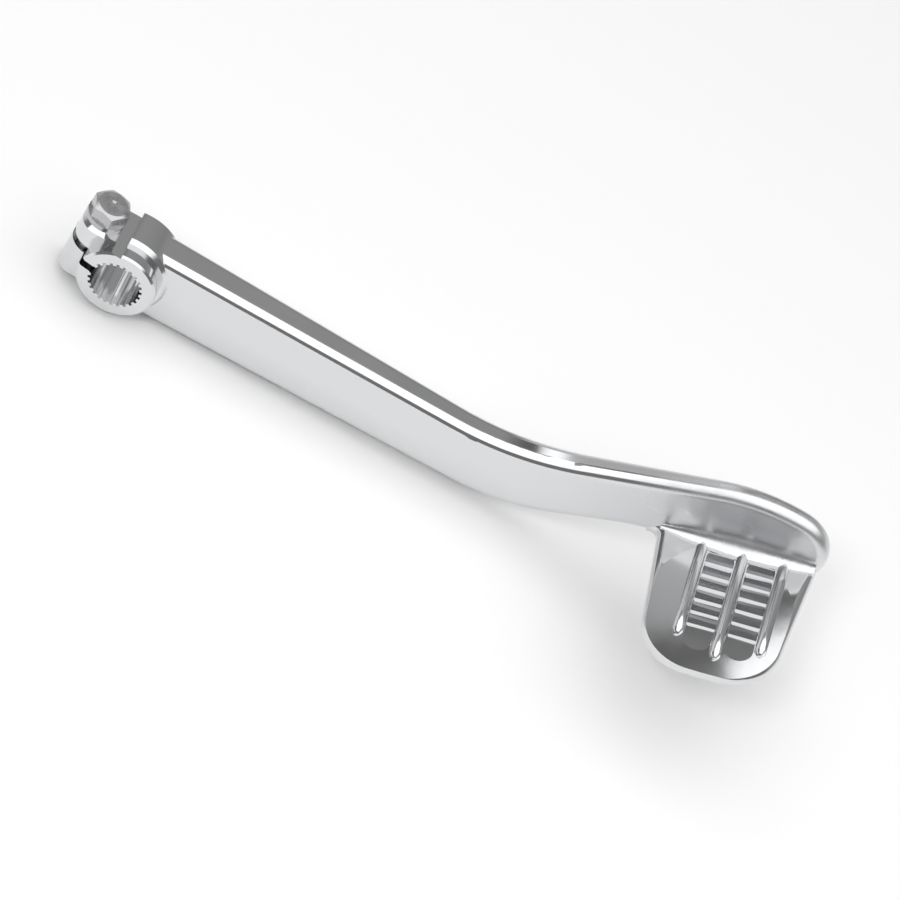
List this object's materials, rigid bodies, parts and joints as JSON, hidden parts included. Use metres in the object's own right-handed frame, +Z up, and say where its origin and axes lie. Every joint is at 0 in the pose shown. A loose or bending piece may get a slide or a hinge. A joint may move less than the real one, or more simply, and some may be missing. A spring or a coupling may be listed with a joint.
{
  "type": "kick start lever",
  "caption": "Chrome kick start lever with a splined pinch-clamp hub, a bent flat arm and a ribbed foot tread that stands out sideways.",
  "frame": {"origin": "on the axis of the splined bore, 4.4 mm behind the front face of the arm", "axes": "+X along the straight root of the arm, +Y along the bore toward the engine, so the tread stands out toward -Y, +Z up along the pinch bolt toward its head"},
  "size_m": [0.2281, 0.0604, 0.0592],
  "materials": {
    "chrome_plate": "polished chrome plate on a casting",
    "zinc_steel": "bright zinc plate"
  },
  "bodies": {
    "root": {"lever": "chrome_plate", "clamp_bolt": "zinc_steel", "spring_washer": "zinc_steel"}
  },
  "joints": []
}
